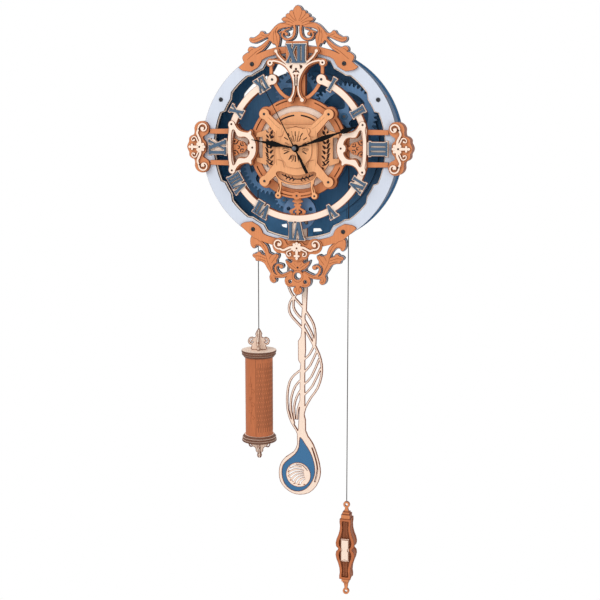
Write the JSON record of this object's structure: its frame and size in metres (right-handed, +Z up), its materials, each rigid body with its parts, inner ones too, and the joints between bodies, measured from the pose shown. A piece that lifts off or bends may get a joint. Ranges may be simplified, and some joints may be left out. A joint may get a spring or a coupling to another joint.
{
  "type": "wall clock movement with weight, pull handle and pendulum",
  "caption": "Laser-cut plywood wall clock with an open gear train, a cord-hung weight, a pull handle, a pendulum and a quartz movement for its three hands",
  "frame": {"origin": "mouth of the hanging hole in the back plate's rear face, where the wall hook goes in", "axes": "+Z up, +X to the right as the clock is seen from the front, +Y into the wall, so the clock faces -Y and its back lies on the plane Y = 0"},
  "size_m": [0.2872, 0.0682, 0.7572],
  "materials": {
    "paint_grey": "grey-blue painted plywood",
    "birch_pale": "bare birch plywood with dark laser edges",
    "birch_orange": "stained plywood with dark laser edges",
    "birch_red": "stained plywood, flexed or profiled",
    "ply_grey": "grey-blue plywood with dark cut edges",
    "paint_blue": "dark blue stained plywood",
    "paint_slate": "slate blue stained plywood",
    "paint_black": "matt black paint on thin metal",
    "plastic_black": "moulded case",
    "plastic_grey": "moulded knob",
    "metal_cell": "plain metal jacket, no label",
    "steel": "bare steel",
    "steel_dark": "blackened steel",
    "cord": "thin twisted cord"
  },
  "bodies": {
    "frame": {"front_ring": "paint_grey", "trim_ring": "birch_pale", "side_band": "paint_blue", "back_plate": "paint_blue", "back_disc": "paint_blue", "crest_front": "birch_orange", "crest_back": "ply_grey", "drop_front": "birch_orange", "drop_back": "ply_grey", "numeral_ring": "birch_pale", "numeral_backing": "birch_orange", "numerals": "paint_slate", "twelve_bracket": "birch_pale", "twelve_bracket_core": "birch_orange", "side_brackets": "birch_pale", "side_bracket_cores": "birch_orange", "side_panels": "birch_orange", "side_panel_backs": "birch_pale", "side_straps": "birch_orange", "edge_scrolls": "birch_pale", "edge_scroll_cores": "birch_orange", "bottom_floral": "birch_orange", "medallion_disc": "birch_pale", "medallion_ring": "birch_orange", "medallion_frame": "birch_orange", "laurel_wings": "birch_orange", "badge": "birch_orange", "badge_shield": "birch_orange", "quartz_movement": "plastic_black", "battery": "metal_cell", "studs": "steel", "stud_collars": "paint_blue", "screws": "steel_dark", "pulley_cord": "cord", "weight_cord": "cord", "handle_cord": "cord"},
    "weight": {"weight_tube": "birch_red", "weight_caps": "birch_pale", "weight_finials": "birch_pale", "weight_filling": "steel"},
    "handle": {"handle_plates": "birch_red", "handle_fittings": "birch_red", "handle_label": "birch_pale"},
    "great": {"cord_pulley": "paint_blue", "great_wheel": "paint_blue"},
    "second_gear": {"second_wheel": "paint_blue"},
    "third_gear": {"third_wheel": "paint_blue"},
    "lower_gear": {"lower_wheel": "paint_blue"},
    "escape_arbor": {"escape_pinions": "paint_blue", "escape_wheel": "paint_blue"},
    "pendulum": {"pendulum_rod": "birch_pale", "bob_inlay": "paint_blue", "bob_shell": "birch_pale", "pendulum_hub": "paint_blue", "pallet_anchor": "paint_blue"},
    "hour": {"hour_hand": "paint_black"},
    "minute": {"minute_hand": "paint_black"},
    "seconds": {"second_hand": "paint_black"},
    "knob": {"setting_knob": "plastic_grey"}
  },
  "joints": [
    {"name": "weight_drop", "type": "slide", "parent": "frame", "child": "weight", "axis": [0, 0, -1], "range_m": [-0.05, 0.2], "deforming": ["weight_cord"]},
    {"name": "handle_rise", "type": "slide", "parent": "frame", "child": "handle", "axis": [0, 0, 1], "range_m": [-0.051, 0.201], "deforming": ["handle_cord"]},
    {"name": "great_wheel_turn", "type": "hinge", "parent": "frame", "child": "great", "pos_m": [0, -0.022, -0.1155], "axis": [0, -1, 0], "range_deg": [-49.1, 194.8]},
    {"name": "second_wheel_turn", "type": "hinge", "parent": "frame", "child": "second_gear", "pos_m": [0.05456, -0.0305, -0.0773], "axis": [0, -1, 0], "range_deg": [-1602.8, 401.1]},
    {"name": "third_wheel_turn", "type": "hinge", "parent": "frame", "child": "third_gear", "pos_m": [-0.00546, -0.0305, -0.04842], "axis": [0, -1, 0], "range_deg": [-588, 2350.4]},
    {"name": "lower_wheel_turn", "type": "hinge", "parent": "frame", "child": "lower_gear", "pos_m": [-0.03909, -0.0305, -0.13815], "axis": [0, -1, 0], "range_deg": [-80.7, 321]},
    {"name": "escape_turn", "type": "hinge", "parent": "frame", "child": "escape_arbor", "pos_m": [-0.02262, -0.022, -0.18196], "axis": [0, -1, 0], "range_deg": [-1068.7, 267.6]},
    {"name": "pendulum_swing", "type": "hinge", "parent": "frame", "child": "pendulum", "pos_m": [0, -0.0365, -0.1965], "axis": [0, -1, 0], "range_deg": [-2, 2]},
    {"name": "second_hand_turn", "type": "hinge", "parent": "frame", "child": "seconds", "pos_m": [0, -0.0658, -0.1155], "axis": [0, -1, 0], "continuous": true},
    {"name": "minute_hand_turn", "type": "hinge", "parent": "frame", "child": "minute", "pos_m": [0, -0.064, -0.1155], "axis": [0, -1, 0], "continuous": true},
    {"name": "hour_hand_turn", "type": "hinge", "parent": "frame", "child": "hour", "pos_m": [0, -0.0622, -0.1155], "axis": [0, -1, 0], "continuous": true},
    {"name": "setting_knob_turn", "type": "hinge", "parent": "frame", "child": "knob", "pos_m": [0.012, -0.032, -0.1055], "axis": [0, 1, 0], "continuous": true}
  ],
  "couplings": [
    {"joint": "handle_rise", "follows": "weight_drop", "ratio": 1},
    {"joint": "great_wheel_turn", "follows": "weight_drop", "rad_per_m": 16.863},
    {"joint": "second_wheel_turn", "follows": "weight_drop", "rad_per_m": -139.12},
    {"joint": "third_wheel_turn", "follows": "weight_drop", "rad_per_m": 204.05},
    {"joint": "lower_wheel_turn", "follows": "weight_drop", "rad_per_m": 27.825},
    {"joint": "escape_turn", "follows": "weight_drop", "rad_per_m": -92.749},
    {"joint": "minute_hand_turn", "follows": "second_hand_turn", "ratio": 0.016667},
    {"joint": "hour_hand_turn", "follows": "second_hand_turn", "ratio": 0.0013889},
    {"joint": "setting_knob_turn", "follows": "second_hand_turn", "ratio": 0.016667}
  ]
}
